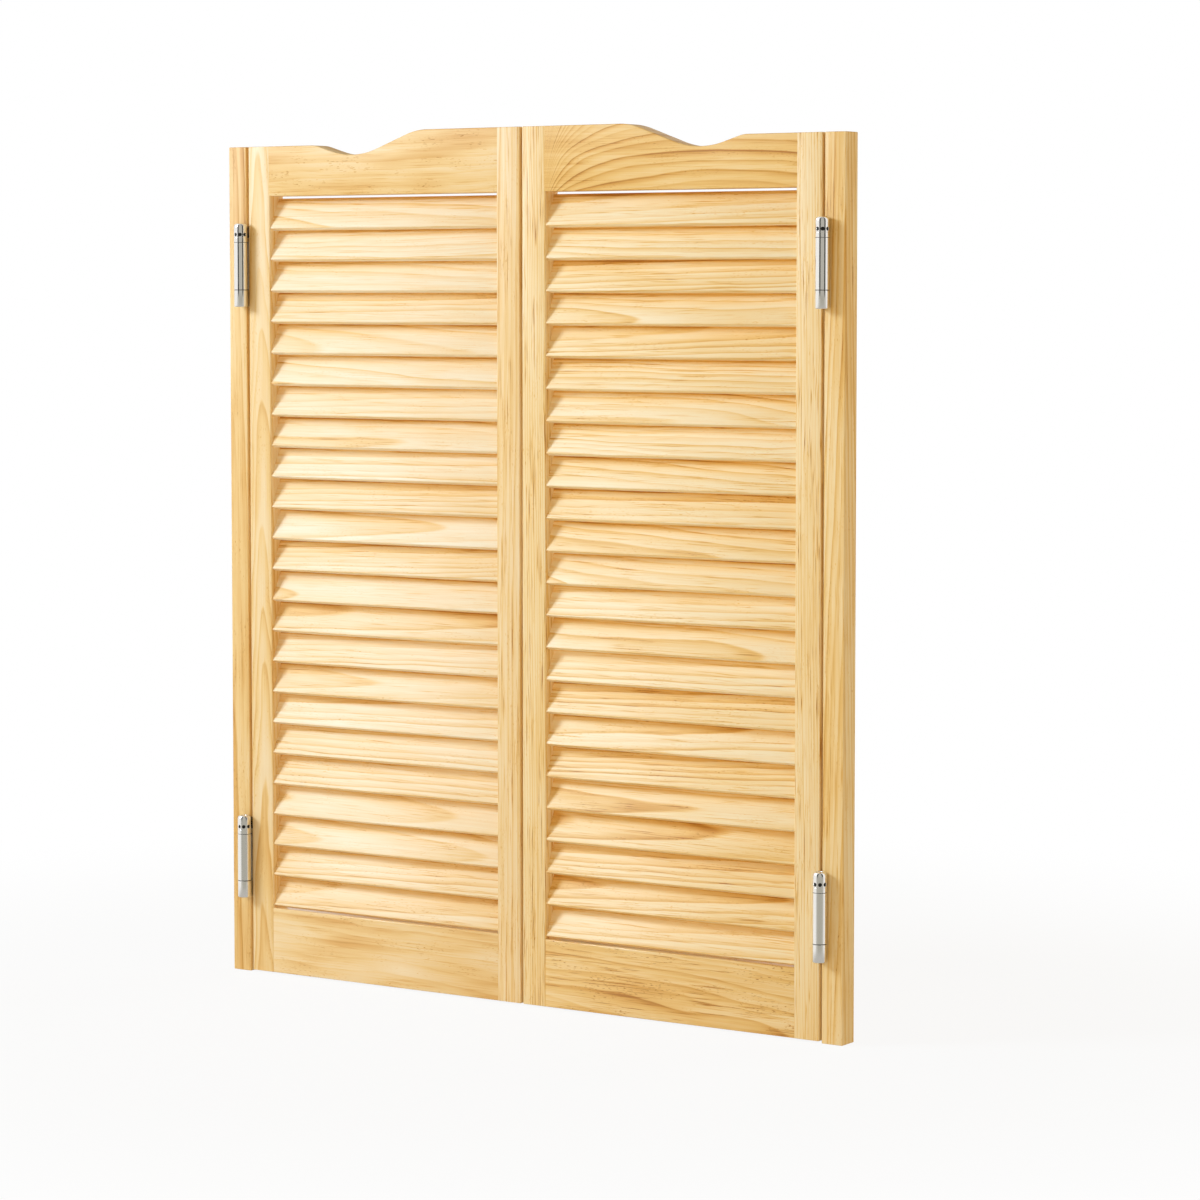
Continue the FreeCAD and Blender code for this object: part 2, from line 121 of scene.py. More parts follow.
# For each leaf: its pivot, X of its plate's left face, Y of the plate's and the neck's two
# edges, and the X direction in which its screws look.
LEAVES = {
    "jamb_leaf": (FRONT_PIVOT, -427.5, (-13.5, 10.0), (-16.2, -13.4), 1),
    "door_leaf": (BACK_PIVOT, -422.1, (-10.0, 13.5), (13.4, 22.6), -1),
}
LEAF_SCREWS = ((4.0, 14.0), (-4.0, 39.0), (4.0, 67.0), (-4.0, 92.0))
LEAF_SCREW_RADIUS = 3.1
WALL_SCREWS = (50.0, 1010.0)
WALL_SCREW_RADIUS = 5.0
SCREW_DOME = 0.35
SCREW_SLOT_DEPTH = 0.9
SCREW_SLOT_HALF = 0.42
SCREW_SLOT_SHARE = 0.66

HOLES = 8
HOLE_TURN = math.radians(-57.0)
HOLE_RADIUS = 2.1
HOLE_DEPTH = 2.6
HOLE_RIM = 0.25
DOME_REACH = 3.0
DOME_RISE = 4.6

# First and last level of the rows of points round the holes, and their count.
HOLE_ROWS = (89.2, 95.4, 32)

# Radius and level of the dish in a collar's crown, and of the pin that stands in it.
COLLAR_DISH = [(4.9, 106.0), (4.5, 105.6), (4.3, 103.2), (2.4, 103.2), (2.3, 105.2),
               (1.9, 105.6), (POLE_RADIUS, 105.6)]


# ---------------------------------------------------------------- surfaces


def grid_faces(rows, columns, close_rows=False):
    """Quads between neighbouring rows of a grid whose columns join up in a ring."""
    row = np.arange(rows if close_rows else rows - 1)[:, None]
    column = np.arange(columns)[None, :]
    after = (column + 1) % columns
    above = (row + 1) % rows
    corners = (row * columns + column, row * columns + after,
               above * columns + after, above * columns + column)
    return np.stack(corners, axis=-1).reshape(-1, 4).tolist()


def ringed(rings, caps=True, close_rows=False):
    """Mesh of rings of points, one row for each ring, with a flat cap on the first and last."""
    rows, columns = rings.shape[:2]
    faces = grid_faces(rows, columns, close_rows)
    if caps:
        faces.append(list(range(columns))[::-1])
        faces.append(list(range((rows - 1) * columns, rows * columns)))
    return rings.reshape(-1, 3), faces


def joined(meshes):
    """Several meshes as one."""
    verts, faces, start = [], [], 0
    for points, polygons in meshes:
        verts.append(points)
        faces += [[index + start for index in polygon] for polygon in polygons]
        start += len(points)
    return np.concatenate(verts), faces


def rounded_outline(half_wide, half_deep, radius, steps=4):
    """Corner by corner, centre plus radius times (cos, sin) of an angle that goes once round."""
    angle = np.radians(np.arange(4)[:, None] * 90 + np.linspace(0, 90, steps + 1)[None, :])
    side = np.array([[1, 1], [-1, 1], [-1, -1], [1, -1]])
    wide = side[:, :1] * (half_wide - radius) + radius * np.cos(angle)
    deep = side[:, 1:] * (half_deep - radius) + radius * np.sin(angle)
    return np.stack([wide.ravel(), deep.ravel()], axis=-1)


def board(low, high, along, arris=BOARD_ARRIS, end_arris=BOARD_END_ARRIS, steps=4):
    """Square-cut board with eased edges, between two corners.

    Rounded outlines are carried along the board. Near an end the outline shrinks by
    end_arris * (1 - sin t) at end_arris * (1 - cos t) from the end, for t from 0 to 90 degrees.
    """
    low, high = np.array(low, float), np.array(high, float)
    others = [(along + 1) % 3, (along + 2) % 3]
    half = (high - low)[others] / 2
    turn = np.radians(np.linspace(0, 90, steps))
    shrink = end_arris * (1 - np.sin(turn))
    start = end_arris * (1 - np.cos(turn))
    station = np.concatenate([low[along] + start, high[along] - start[::-1]])
    inset = np.concatenate([shrink, shrink[::-1]])
    outlines = np.array([rounded_outline(half[0] - d, half[1] - d, max(arris - d, LEAST_ARRIS))
                         for d in inset])
    rings = np.zeros((*outlines.shape[:2], 3))
    rings[..., others] = outlines + (low + high)[others] / 2
    rings[..., along] = station[:, None]
    return ringed(rings)


def scallop_height(across):
    """Top edge of the top rail over the distance from the hinge edge.

    Level, then a shoulder arc down to the straight fall, an arc through the dip, the straight
    rise and a crest arc up to the meeting side. An arc of radius r that is level at c is
    r - sqrt(r^2 - (x - c)^2) off that level at x.
    """
    dip_level = HINGE_SIDE_TOP - DIP_DROP
    fall_end = DIP_ACROSS - DIP_RADIUS * math.sin(FALL_ANGLE)
    fall_end_level = dip_level + DIP_RADIUS * (1 - math.cos(FALL_ANGLE))
    shoulder_level = HINGE_SIDE_TOP - SHOULDER_RADIUS * (1 - math.cos(FALL_ANGLE))
    shoulder_end = fall_end - (shoulder_level - fall_end_level) / math.tan(FALL_ANGLE)
    shoulder = shoulder_end - SHOULDER_RADIUS * math.sin(FALL_ANGLE)
    rise = DIP_ACROSS + DIP_RADIUS * math.sin(RISE_ANGLE)
    rise_level = dip_level + DIP_RADIUS * (1 - math.cos(RISE_ANGLE))
    crest_level = MEETING_SIDE_TOP - CREST_RADIUS * (1 - math.cos(RISE_ANGLE))
    crest = rise + (crest_level - rise_level) / math.tan(RISE_ANGLE)
    crest_end = crest + CREST_RADIUS * math.sin(RISE_ANGLE)

    def arc(centre, radius):
        return radius - np.sqrt(np.maximum(radius**2 - (across - centre)**2, 0))

    stretches = {
        shoulder: HINGE_SIDE_TOP,
        shoulder_end: HINGE_SIDE_TOP - arc(shoulder, SHOULDER_RADIUS),
        fall_end: fall_end_level + (fall_end - across) * math.tan(FALL_ANGLE),
        rise: dip_level + arc(DIP_ACROSS, DIP_RADIUS),
        crest: rise_level + (across - rise) * math.tan(RISE_ANGLE),
        crest_end: MEETING_SIDE_TOP - arc(crest_end, CREST_RADIUS),
    }
    before = [across < end for end in stretches]
    return np.select(before, list(stretches.values()), MEETING_SIDE_TOP)


def scalloped_rail(stations=160):
    """Rail of a door: rounded outlines carried along X, as tall as the scallop there."""
    start = STILE_WIDTH - RAIL_OVERLAP
    end = HINGE_EDGE - MEETING_EDGE - STILE_WIDTH + RAIL_OVERLAP
    across = np.linspace(start, end, stations)
    half = (scallop_height(across) - TOP_RAIL_UNDERSIDE) / 2
    outlines = np.array([rounded_outline(HALF_DEPTH, size, RAIL_ARRIS) for size in half])
    rings = np.zeros((*outlines.shape[:2], 3))
    rings[..., 1:] = outlines
    rings[..., Z] += (TOP_RAIL_UNDERSIDE + half)[:, None]
    rings[..., X] = (across - HINGE_EDGE)[:, None]
    return ringed(rings)


def slat_row():
    """Boards that lean back, one pitch apart.

    Width w and thickness t from the front arris go to y = t cos(tilt) + w sin(tilt) and
    z = w cos(tilt) - t sin(tilt).
    """
    near = -HINGE_EDGE + STILE_WIDTH - SLAT_HOUSING
    far = -MEETING_EDGE - STILE_WIDTH + SLAT_HOUSING
    verts, faces = board((near, 0, 0), (far, SLAT_THICKNESS, SLAT_WIDTH), X,
                         SLAT_ARRIS, SLAT_END_ARRIS)
    sine, cosine = math.sin(SLAT_TILT), math.cos(SLAT_TILT)
    thick, wide = verts[:, Y], verts[:, Z]
    y = -HALF_DEPTH + SLAT_SETBACK + thick * cosine + wide * sine
    z = LOWEST_SLAT + SLAT_THICKNESS * sine + wide * cosine - thick * sine
    slat = np.stack([verts[:, X], y, z], axis=-1)
    return joined([(slat + [0, 0, step * SLAT_PITCH], faces) for step in range(SLAT_COUNT)])


def turned(profile, centre, segments=96, closed=False, push=None):
    """Profile of (radius, height) pairs turned about an upright axis.

    A closed profile comes back to its start, and another gets a flat cap at each end.
    push(angle, height) is taken from the radius, for what is cut into the side.
    """
    profile = np.array(profile, float)
    angle = np.linspace(0, 2 * np.pi, segments, endpoint=False)
    radius = np.repeat(profile[:, :1], segments, axis=1)
    height = np.repeat(profile[:, 1:], segments, axis=1)
    if push:
        radius = radius - push(angle[None, :], height)
    x = centre[0] + radius * np.cos(angle)
    y = centre[1] + radius * np.sin(angle)
    return ringed(np.stack([x, y, height], axis=-1), not closed, closed)


def tube(centre, outer, inner, low, high, ease, segments=96):
    """Upright tube whose outer rims are cut back by ease."""
    profile = [(inner, low), (outer - ease, low), (outer, low + ease), (outer, high - ease),
               (outer - ease, high), (inner, high)]
    return turned(profile, centre, segments, closed=True)


def metal_plate(x, y, z):
    """Upright plate between two limits on each axis."""
    return board((x[0], y[0], z[0]), (x[1], y[1], z[1]), Z, METAL_ARRIS, METAL_ARRIS)


def coil(centre, low, high, radius=5.0, wire=1.2, play=0.1, steps=20, sides=8):
    """Round wire wound close: its centre line is a helix, and a circle is carried along it.

    The circle's radius is wire, and play is the room between two turns.
    """
    rise = high - low - 2 * wire
    turns = rise / (2 * wire + play)
    along = np.linspace(0, 1, int(turns * steps))
    angle = along * turns * 2 * np.pi
    around = np.linspace(0, 2 * np.pi, sides, endpoint=False)[None, :]
    reach = radius + wire * np.cos(around)
    x = centre[0] + reach * np.cos(angle)[:, None]
    y = centre[1] + reach * np.sin(angle)[:, None]
    z = (low + wire + along * rise)[:, None] + wire * np.sin(around)
    return ringed(np.stack([x, y, z], axis=-1)[:, ::-1])


def screw_head(centre, facing, radius, hub=0.12, circles=14, sides=48):
    """Low dome with a cross slot, on a face that looks along +X or -X.

    Height over the face is the dome's height * (1 - (r / radius)^2), less the slot's depth
    inside the cross. The circles of points run from the hub to the rim.
    """
    distance = np.linspace(hub, 1, circles)[:, None] * radius
    angle = np.linspace(0, 2 * np.pi, sides, endpoint=False)[None, :]
    wide, tall = distance * np.cos(angle), distance * np.sin(angle)
    off_arm = np.minimum(np.abs(wide), np.abs(tall))
    cross = (off_arm < SCREW_SLOT_HALF) & (distance < SCREW_SLOT_SHARE * radius)
    height = SCREW_DOME * (1 - (distance / radius)**2) - SCREW_SLOT_DEPTH * cross
    rings = np.stack([centre[0] + facing * height, centre[1] + facing * wide,
                      centre[2] + tall], axis=-1)
    return ringed(rings[::-1])


def winding_holes(centre_level):
    """Round holes in the side of a collar: depth where the distance to a hole is small."""
    def push(angle, height):
        spacing = 2 * np.pi / HOLES
        nearest = (angle - HOLE_TURN) % spacing
        nearest = np.minimum(nearest, spacing - nearest)
        distance = np.hypot(nearest * BARREL_RADIUS, height - centre_level)
        return HOLE_DEPTH * np.clip((HOLE_RADIUS - distance) / HOLE_RIM + 0.5, 0, 1)
    return push


def collar(centre, foot, sides=180):
    """Tension collar: a stem, a body with winding holes, a domed shoulder, a dish and a pin.

    The shoulder is a quarter of an ellipse, and the rows lie close where the holes are.
    """
    stem = [(POLE_RADIUS, COLLAR_STEM_FOOT), (JOURNAL_RADIUS, COLLAR_STEM_FOOT),
            (JOURNAL_RADIUS + 0.05, COLLAR_FOOT), (BARREL_RADIUS - 0.2, COLLAR_FOOT)]
    levels = [COLLAR_FOOT + 0.3, *np.linspace(*HOLE_ROWS), 98.0, COLLAR_SHOULDER]
    body = [(BARREL_RADIUS, level) for level in levels]
    shoulder = [(BARREL_RADIUS - DOME_REACH + DOME_REACH * math.cos(turn),
                 COLLAR_SHOULDER + DOME_RISE * math.sin(turn))
                for turn in np.radians(np.linspace(0, 90, 9))[1:]]
    profile = [(radius, level + foot) for radius, level in stem + body + shoulder + COLLAR_DISH]
    return turned(profile, centre, sides, push=winding_holes(foot + HOLE_LEVEL))


def hole_shade_plugs(centre, foot, radius=2.0, inner=5.8, outer=7.5, sides=20):
    """Painted shade at the end of each winding hole: a near-black round plug, from 1.0 to 2.7
    under the collar's side.
    """
    around = np.linspace(0, 2 * np.pi, sides, endpoint=False)
    size = np.array([0.1, radius, radius, 0.1])[:, None]
    reach = np.array([inner, inner, outer, outer])[:, None]
    side = size * np.cos(around)
    z = foot + HOLE_LEVEL + size * np.sin(around)
    plugs = []
    for turn in HOLE_TURN + np.arange(HOLES) * 2 * np.pi / HOLES:
        x = centre[0] + reach * math.cos(turn) - side * math.sin(turn)
        y = centre[1] + reach * math.sin(turn) + side * math.cos(turn)
        plugs.append(ringed(np.stack([x, y, z], axis=-1)))
    return joined(plugs)


def knuckle(centre, foot):
    """Lower knuckle of the web: a barrel with an eased foot, and the journal over it."""
    profile = [(POLE_RADIUS, 0.0), (BARREL_RADIUS - 1.4, 0.0), (BARREL_RADIUS - 0.4, 0.4),
               (BARREL_RADIUS, 1.4), (BARREL_RADIUS, LOWER_KNUCKLE_TOP - 0.3),
               (BARREL_RADIUS - 0.3, LOWER_KNUCKLE_TOP), (JOURNAL_RADIUS, LOWER_KNUCKLE_TOP),
               (JOURNAL_RADIUS, JOURNAL_TOP), (POLE_RADIUS, JOURNAL_TOP)]
    return turned([(radius, level + foot) for radius, level in profile], centre)


def flipped(mesh):
    """The mirror image on the other half, with its faces still outwards."""
    verts, faces = mesh
    return verts * [-1, 1, 1], [polygon[::-1] for polygon in faces]


def half_turned(mesh):
    """The mesh turned half round the upright middle line."""
    verts, faces = mesh
    return verts * [-1, -1, 1], faces


# ---------------------------------------------------------------- materials


class Value:
    """A number that varies over a surface. Python's operators on it add Math nodes."""

    def __init__(self, nodes, socket):
        self.nodes = nodes
        self.socket = socket

    def __add__(self, other):
        return self.nodes.maths("ADD", self, other)

    def __radd__(self, other):
        return self.nodes.maths("ADD", other, self)

    def __sub__(self, other):
        return self.nodes.maths("SUBTRACT", self, other)

    def __rsub__(self, other):
        return self.nodes.maths("SUBTRACT", other, self)

    def __mul__(self, other):
        return self.nodes.maths("MULTIPLY", self, other)

    def __rmul__(self, other):
        return self.nodes.maths("MULTIPLY", other, self)

    def __truediv__(self, other):
        return self.nodes.maths("DIVIDE", self, other)

    def __rtruediv__(self, other):
        return self.nodes.maths("DIVIDE", other, self)

    def __pow__(self, other):
        return self.nodes.maths("POWER", self, other)

    def root(self):
        return self.nodes.maths("SQRT", self)

    def fraction(self):
        return self.nodes.maths("FRACT", self)

    def floor(self):
        return self.nodes.maths("FLOOR", self)

    def at_least(self, least):
        return self.nodes.maths("MAXIMUM", self, least)

    def smooth(self, low, high):
        """0 below low, 1 above high, and smooth between."""
        settings = {"interpolation_type": "SMOOTHSTEP"}
        inputs = {"Value": self, "From Min": low, "From Max": high}
        node = self.nodes.node("ShaderNodeMapRange", settings, inputs)
        return Value(self.nodes, node.outputs["Result"])


class Nodes:
    """A node tree that is filled by one method."""

    def __init__(self, tree):
        self.tree = tree
        tree.nodes.clear()

    def node(self, kind, settings=None, inputs=None):
        """A node: its settings first, then the values or links of its sockets."""
        node = self.tree.nodes.new(kind)
        settings = dict(settings or {})
        stops = settings.pop("stops", None)
        for name, setting in settings.items():
            setattr(node, name, setting)
        if stops:
            elements = node.color_ramp.elements
            while len(elements) < len(stops):
                elements.new(0.5)
            for element, (position, colour) in zip(elements, stops):
                element.position = position
                element.color = (*colour, 1.0)
        for key, value in (inputs or {}).items():
            if isinstance(value, Value):
                self.tree.links.new(value.socket, node.inputs[key])
            elif isinstance(value, bpy.types.NodeSocket):
                self.tree.links.new(value, node.inputs[key])
            else:
                node.inputs[key].default_value = value
        return node

    def maths(self, operation, *values):
        """What a Math node makes of numbers and values."""
        node = self.node("ShaderNodeMath", {"operation": operation}, dict(enumerate(values)))
        return Value(self, node.outputs[0])

    def axes(self, vector):
        """X, Y and Z of a vector socket."""
        split = self.node("ShaderNodeSeparateXYZ", None, {0: vector})
        return [Value(self, split.outputs[axis]) for axis in (X, Y, Z)]

    def place(self, scale=1 / MM):
        """X, Y and Z over the object, in millimetres."""
        coordinates = self.node("ShaderNodeTexCoord")
        return [axis * scale for axis in self.axes(coordinates.outputs["Object"])]

    def noise(self, place, sizes=(1, 1, 1), detail=2.0, rough=0.5):
        """Smooth noise around 0, whose features are as long as the sizes."""
        scaled = [axis / size for axis, size in zip(place, sizes)]
        vector = self.node("ShaderNodeCombineXYZ", None, dict(enumerate(scaled)))
        inputs = {"Vector": vector.outputs[0], "Scale": 1.0, "Detail": detail,
                  "Roughness": rough}
        texture = self.node("ShaderNodeTexNoise", {"noise_dimensions": "3D"}, inputs)
        return Value(self, texture.outputs[0]) - 0.5

    def chance(self, value, seed):
        """A fixed random number from 0 to 1 for each whole value."""
        inputs = {"W": value + seed}
        node = self.node("ShaderNodeTexWhiteNoise", {"noise_dimensions": "1D"}, inputs)
        return Value(self, node.outputs[0])

    def bump(self, height, strength, distance):
        """Relief of a height, whose unit stands for the distance in metres."""
        inputs = {"Height": height, "Strength": strength, "Distance": distance}
        return self.node("ShaderNodeBump", None, inputs).outputs[0]

    def ramp(self, stops, value):
        """The colour of a ramp at a value."""
        return self.node("ShaderNodeValToRGB", {"stops": stops}, {0: value}).outputs[0]

    def mixed_colour(self, share, low, high):
        """One colour where the share is 0 and the other where it is 1."""
        inputs = {"Factor": share, 6: low, 7: high}
        return self.node("ShaderNodeMix", {"data_type": "RGBA"}, inputs).outputs[2]

    def mixed(self, share, low, high):
        """One shader where the share is 0 and the other where it is 1."""
        inputs = {0: share, 1: low, 2: high}
        return self.node("ShaderNodeMixShader", None, inputs).outputs[0]

    def background(self, colour, strength=1.0):
        """Light of a colour that comes in from the world."""
        return self.node("ShaderNodeBackground", None, {0: colour, 1: strength}).outputs[0]

    def surface(self, inputs):
        """The material's surface, with these inputs of the principled shader."""
        shader = self.node("ShaderNodeBsdfPrincipled", None, inputs)
        self.node("ShaderNodeOutputMaterial", None, {0: shader.outputs[0]})


def finish(name):
    """A new material, and the nodes to fill it with."""
    material = bpy.data.materials.new(name)
    material.use_nodes = True
    return material, Nodes(material.node_tree)


def screen(red, green, blue):
    """A colour as it looks on a screen, 0 to 255, as the light that a shader takes."""
    share = np.array([red, green, blue]) / 255
    return tuple(np.where(share > 0.04045, ((share + 0.055) / 1.055)**2.4, share / 12.92))


def shades(*colours):
    """Stops of a ramp from the palest early wood to the darkest late wood."""
    positions = (0.0, 0.3, 0.55, 0.8, 1.0)
    return [(position, screen(*colour)) for position, colour in zip(positions, colours)]


PALE_PINE = shades((253, 239, 211), (249, 223, 178), (243, 207, 142), (228, 177, 99),
                   (196, 136, 60))
HONEY_PINE = shades((253, 236, 200), (248, 219, 163), (239, 198, 122), (222, 168, 82),
                    (184, 122, 47))

# How long the marks in the wood are: along the grain, across it and into the board.
SLOW_SWAY = (420, 110, 110)
QUICK_SWAY = (110, 22, 22)
FIBRE = (120, 2.4, 2.4)
HAIR = (60, 1.3, 1.3)
HAIR_GROUP = (90, 9, 9)
PATCH = (190, 30, 30)
DUCT = (5.5, 0.8, 0.8)
DUCT_GROUP = (60, 16, 16)
SEED_STEP = (613.0, 37.0, 11.0)
BASE_TONE = 0.30

# How far chance moves a slat through the log: along the grain, across it and into it.
SLAT_MOVE = (5000, 110, 40)
SLAT_SEEDS = (0.0, 31.7, 57.1)
SLAT_LEAN = 0.05
SLAT_TONE = 0.18

# Painted shade where a slat's front face goes under the lip of the slat above: where it starts
# over the width, and how dark it gets. FRONT_FACE is the depth over which that painted shade
# fades out towards the slat's back.
FRONT_FACE = (2.0, 5.0)
NEAR_LIP = (2.0, 17.0)
NEAR_LIP_SHADE = 0.14
UNDER_LIP = (15.5, 18.0)
UNDER_LIP_SHADE = 0.40

# Painted shade low down: the height over which the lower slats get paler, and how dark they
# start.
LOW_DOWN = (100.0, 560.0)
LOW_SHADE = 0.07

# How long the marks in the metal are.
TURNING_MARK = (18, 18, 0.22)
CLOUD = (9, 9, 12)


def upright(middle):
    """Grain of a post or stile, which runs up it."""
    return lambda nodes: board_grain(nodes, Z, X, middle)


def level(middle):
    """Grain of a rail, which runs along it."""
    return lambda nodes: board_grain(nodes, X, Z, middle)


def slatted(seed):
    """Grain of a row of slats, which runs along each."""
    return lambda nodes: slat_grain(nodes, seed)


def board_grain(nodes, along, across, middle):
    """Distances along, across and into a board, and no tone of its own."""
    place = nodes.place()
    return [place[along], place[across] - middle, place[3 - along - across]], 0.0


def slat_grain(nodes, seed):
    """The same for a row of slats: each is its own board, moved by chance through the log.

    u and v lie along the width and the thickness of the tilted slats, and the whole number of
    pitches in v tells one slat from the next. The tone differs from slat to slat at random, and
    painted shade darkens it low down and where the front face goes under the lip of the slat
    above.
    """
    place = nodes.place()
    sine, cosine = math.sin(SLAT_TILT), math.cos(SLAT_TILT)
    back = place[Y] + (HALF_DEPTH - SLAT_SETBACK)
    rise = place[Z] - (LOWEST_SLAT + SLAT_THICKNESS * sine)
    u = back * sine + rise * cosine
    v = back * cosine - rise * sine
    step = SLAT_PITCH * sine
    index = ((SLAT_THICKNESS / 2 + step / 2 - v) / step).floor()
    width = u - index * (SLAT_PITCH * cosine) - SLAT_WIDTH / 2
    depth = v + index * step
    chance = [nodes.chance(index, seed + extra) for extra in SLAT_SEEDS]
    lean = (chance[2] - 0.5) * SLAT_LEAN
    grain = [place[X] + chance[0] * SLAT_MOVE[0],
             width + (chance[1] - 0.5) * SLAT_MOVE[1] + lean * place[X],
             depth + chance[2] * SLAT_MOVE[2]]
    # Painted shade: darker where the front face goes under the lip above, and on the lower slats.
    front = 1 - depth.smooth(*FRONT_FACE)
    lip_shade = width.smooth(*NEAR_LIP) * NEAR_LIP_SHADE + width.smooth(*UNDER_LIP) * UNDER_LIP_SHADE
    low_shade = 1 - place[Z].smooth(*LOW_DOWN)
    return grain, (chance[0] - 0.5) * SLAT_TONE + low_shade * LOW_SHADE + lip_shade * front


def pine(name, grain, stops, pith, ring, sway, late_tone, taper, streak, seed, lines=0.25,
         band=(0.15, 0.90), freckles=0.3, mottle=0.5, tone=0.0, fan=None, arch=None, coat=0.0):
    """Clear-finished pine, sawn from a log whose pith lies off the board.

    A ring is a line of equal distance from the pith, plus a taper along the log, so a face
    shows arches or lines as it cuts the rings. They sway slowly and quickly along the board,
    a fan crowds them together at one end, as beside a knot, and an arch bows them. Each ring
    darkens over its band, from early to late wood, and then stops short. streak, lines,
    mottle and freckles say how much of the fibres, the hairlines, the soft patches and the
    resin ducts there is in the colour, and tone darkens all of it.
    """
    material, nodes = finish(name)
    # For the slats, tint holds each slat's random tone plus the painted shade under the lips and
    # low down.
    (along, across, inward), tint = grain(nodes)
    place = [axis + seed * step for axis, step in zip((along, across, inward), SEED_STEP)]
    slow = nodes.noise(place, SLOW_SWAY)
    quick = nodes.noise(place, QUICK_SWAY)
    wide = across - pith[0] + slow * (sway * 4) + quick * sway
    if arch:
        centre, half, drop = arch
        wide = wide + ((along - centre) / half)**2 * drop
    if fan:
        knot, crowding = fan
        wide = wide * (1 + crowding / (along - knot).at_least(4.0))
    deep = inward + pith[1] + slow * (sway * 2)
    radius = (wide * wide + deep * deep).root() + along * taper
    rings = radius / ring
    rings = rings + nodes.noise([rings * 0.6 + seed, across * 0.004, along * 0.002], detail=1.0)
    share = rings.fraction()
    start, end = band
    strength = nodes.chance(rings.floor(), seed) * 0.7 + 0.3
    late = share.smooth(start, end) * 0.7 + share.smooth((start + 3 * end) / 4, end) * 0.3
    late = late * (1 - share.smooth(end, end + 0.10)) * strength
    fibre = nodes.noise(place, FIBRE, 4.0, 0.7)
    hair = nodes.noise(place, HAIR, 2.0, 0.6)
    line = hair.smooth(0.03, 0.20) * nodes.noise(place, HAIR_GROUP, 1.0).smooth(-0.16, 0.10)
    patch = nodes.noise(place, PATCH)
    ducts = nodes.noise(place, DUCT, 0.0).smooth(0.18, 0.28)
    ducts = ducts * nodes.noise(place, DUCT_GROUP, 1.0).smooth(-0.04, 0.16)
    mix = late * late_tone + fibre * streak + line * lines + patch * mottle + ducts * freckles
    nodes.surface({
        "Base Color": nodes.ramp(stops, mix + (tint + (BASE_TONE + tone))),
        "Roughness": fibre * 0.12 + (late * 0.06 + 0.40),
        "Specular IOR Level": 0.30,
        "Coat Weight": coat,
        "Coat Roughness": 0.12,
        "Normal": nodes.bump(hair + fibre * 1.5 - late * 0.3, 0.12, 0.0004),
    })
    return material


def satin_metal(name, colour, rough):
    """Metal with fine turning marks round each barrel."""
    material, nodes = finish(name)
    place = nodes.place()
    marks = nodes.noise(place, TURNING_MARK)
    cloud = nodes.noise(place, CLOUD)
    nodes.surface({
        "Base Color": (*colour, 1.0),
        "Metallic": 1.0,
        "Roughness": marks * 0.14 + (cloud * 0.08 + rough),
        "Normal": nodes.bump(marks, 0.06, 0.0002),
    })
    return material


NICKEL = satin_metal("satin_nickel", (0.86, 0.84, 0.80), 0.13)
SPRING_STEEL = satin_metal("oiled_spring_steel", (0.38, 0.38, 0.40), 0.30)
SCREW_STEEL = satin_metal("bright_screw_steel", (0.70, 0.69, 0.67), 0.24)
# Near-black steel for the plugs and rings that are painted shade in the winding holes, the
# grooves and the collar's dish.
HOLE_SHADE_STEEL = satin_metal("painted_shade_steel", (0.035, 0.033, 0.03), 0.45)

